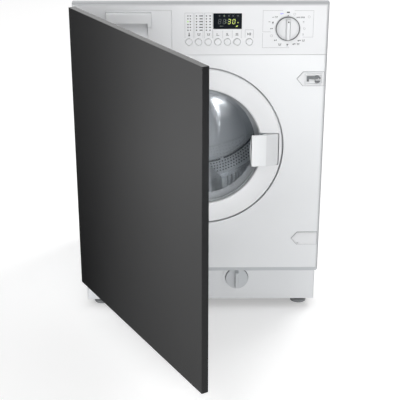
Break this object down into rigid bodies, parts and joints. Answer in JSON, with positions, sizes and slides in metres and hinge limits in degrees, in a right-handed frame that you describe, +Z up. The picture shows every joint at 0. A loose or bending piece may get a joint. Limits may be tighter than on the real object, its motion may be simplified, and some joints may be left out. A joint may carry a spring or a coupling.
{
  "type": "integrated washing machine",
  "caption": "Built-in front-loading washing machine with round glass door, control fascia, detergent drawer and a hinged dark furniture panel standing open.",
  "frame": {"origin": "on the floor under the feet, in the middle of the machine's width and in its front plane", "axes": "+X to the machine's right as seen from the front, +Y back through its depth, +Z up"},
  "size_m": [0.6008, 1.1166, 0.82],
  "materials": {
    "white_enamel": "smooth satin enamel",
    "zinc_sheet": "galvanised sheet",
    "white_plastic": "satin moulded plastic",
    "grey_strip": "matte moulded plastic",
    "grey_plastic": "matte moulded plastic",
    "dark_plastic": "matte moulded plastic",
    "display_window": "clear dark window",
    "circuit_board": "lacquered board",
    "door_glass": "clear pressed glass",
    "plated_steel": "bright zinc plating",
    "drum_steel": "bright stainless sheet",
    "cast_alloy": "as cast",
    "motor_casing": "cast end shields and core",
    "damper_paint": "satin black",
    "gasket_rubber": "matte grey rubber",
    "black_rubber": "matte black rubber",
    "concrete": "cast concrete",
    "decor_board": "dark laminated board"
  },
  "bodies": {
    "cabinet": {"side_panels": "white_enamel", "front_panel": "white_enamel", "top_cover": "white_enamel", "kick_panel": "white_enamel", "rear_panel": "zinc_sheet", "base_tray": "zinc_sheet", "catch_hook": "zinc_sheet", "fascia": "white_plastic", "catch_body": "white_plastic", "blank_cover": "white_plastic", "plinth_strip": "grey_strip", "drawer_housing": "grey_plastic", "tub_front": "grey_plastic", "tub_rear": "grey_plastic", "inlet_valve": "grey_plastic", "selector_switch": "dark_plastic", "drain_pump": "dark_plastic", "door_lock": "dark_plastic", "display_window": "display_window", "control_board": "circuit_board", "door_hinge_bracket": "plated_steel", "panel_hinge_arms": "plated_steel", "suspension_springs": "plated_steel", "drum_bearings": "plated_steel", "heater": "plated_steel", "motor": "motor_casing", "dampers": "damper_paint", "door_gasket": "gasket_rubber", "drive_belt": "black_rubber", "sump_hose": "black_rubber", "drain_pipe": "black_rubber", "cord_gland": "black_rubber", "feet": "black_rubber", "front_weights": "concrete"},
    "drum": {"drum_shell": "drum_steel", "drum_back": "drum_steel", "drum_spider": "cast_alloy", "drum_lifters": "grey_plastic", "drum_pulley": "cast_alloy"},
    "motor_rotor": {"motor_pulley": "plated_steel"},
    "porthole_door": {"door_ring": "white_plastic", "door_frame": "grey_plastic", "door_glass": "door_glass", "door_hinge_leaf": "plated_steel"},
    "handle": {"door_handle": "white_plastic"},
    "latch": {"door_latch": "plated_steel"},
    "drawer": {"drawer_front": "white_plastic", "drawer_tray": "grey_plastic"},
    "knob": {"selector_knob": "white_plastic"},
    "filter": {"filter_cap": "grey_plastic"},
    "furniture_door": {"furniture_panel": "decor_board", "panel_hinge_cups": "plated_steel", "panel_strike": "plated_steel"},
    "key_1": {"button_1": "white_plastic"},
    "key_2": {"button_2": "white_plastic"},
    "key_3": {"button_3": "white_plastic"},
    "key_4": {"button_4": "white_plastic"},
    "key_5": {"button_5": "white_plastic"},
    "key_6": {"button_6": "white_plastic"},
    "key_start": {"button_start": "white_plastic"}
  },
  "joints": [
    {"name": "panel_swing", "type": "hinge", "parent": "cabinet", "child": "furniture_door", "pos_m": [-0.291, -0.031, 0.466], "axis": [0, 0, -1], "range_deg": [-60, 40]},
    {"name": "door_swing", "type": "hinge", "parent": "cabinet", "child": "porthole_door", "pos_m": [-0.206, -0.005, 0.466], "axis": [0, 0, -1], "range_deg": [0, 65]},
    {"name": "handle_pull", "type": "hinge", "parent": "porthole_door", "child": "handle", "pos_m": [0.178, 0.003, 0.462], "axis": [0, 0, 1], "range_deg": [0, 15], "stiffness_Nm_per_rad": 1.5},
    {"name": "latch_turn", "type": "hinge", "parent": "porthole_door", "child": "latch", "pos_m": [0.178, 0.0145, 0.462], "axis": [0, 0, -1], "range_deg": [0, 12.5]},
    {"name": "drum_spin", "type": "hinge", "parent": "cabinet", "child": "drum", "pos_m": [0, 0.3, 0.466], "axis": [0, 1, 0], "continuous": true},
    {"name": "motor_spin", "type": "hinge", "parent": "cabinet", "child": "motor_rotor", "pos_m": [-0.12, 0.478, 0.128], "axis": [0, 1, 0], "continuous": true},
    {"name": "knob_turn", "type": "hinge", "parent": "cabinet", "child": "knob", "pos_m": [0.2026, 0, 0.7593], "axis": [0, 1, 0], "continuous": true},
    {"name": "filter_turn", "type": "hinge", "parent": "cabinet", "child": "filter", "pos_m": [0.095, 0.05, 0.084], "axis": [0, 1, 0], "range_deg": [0, 90]},
    {"name": "drawer_slide", "type": "slide", "parent": "cabinet", "child": "drawer", "axis": [0, -1, 0], "range_m": [0, 0.12]},
    {"name": "press_1", "type": "slide", "parent": "cabinet", "child": "key_1", "axis": [0, 1, 0], "range_m": [0, 0.0012], "stiffness_N_per_m": 500},
    {"name": "press_2", "type": "slide", "parent": "cabinet", "child": "key_2", "axis": [0, 1, 0], "range_m": [0, 0.0012], "stiffness_N_per_m": 500},
    {"name": "press_3", "type": "slide", "parent": "cabinet", "child": "key_3", "axis": [0, 1, 0], "range_m": [0, 0.0012], "stiffness_N_per_m": 500},
    {"name": "press_4", "type": "slide", "parent": "cabinet", "child": "key_4", "axis": [0, 1, 0], "range_m": [0, 0.0012], "stiffness_N_per_m": 500},
    {"name": "press_5", "type": "slide", "parent": "cabinet", "child": "key_5", "axis": [0, 1, 0], "range_m": [0, 0.0012], "stiffness_N_per_m": 500},
    {"name": "press_6", "type": "slide", "parent": "cabinet", "child": "key_6", "axis": [0, 1, 0], "range_m": [0, 0.0012], "stiffness_N_per_m": 500},
    {"name": "press_start", "type": "slide", "parent": "cabinet", "child": "key_start", "axis": [0, 1, 0], "range_m": [0, 0.0012], "stiffness_N_per_m": 500}
  ],
  "couplings": [
    {"joint": "motor_spin", "follows": "drum_spin", "ratio": 10.357},
    {"joint": "latch_turn", "follows": "handle_pull", "ratio": 0.8}
  ]
}
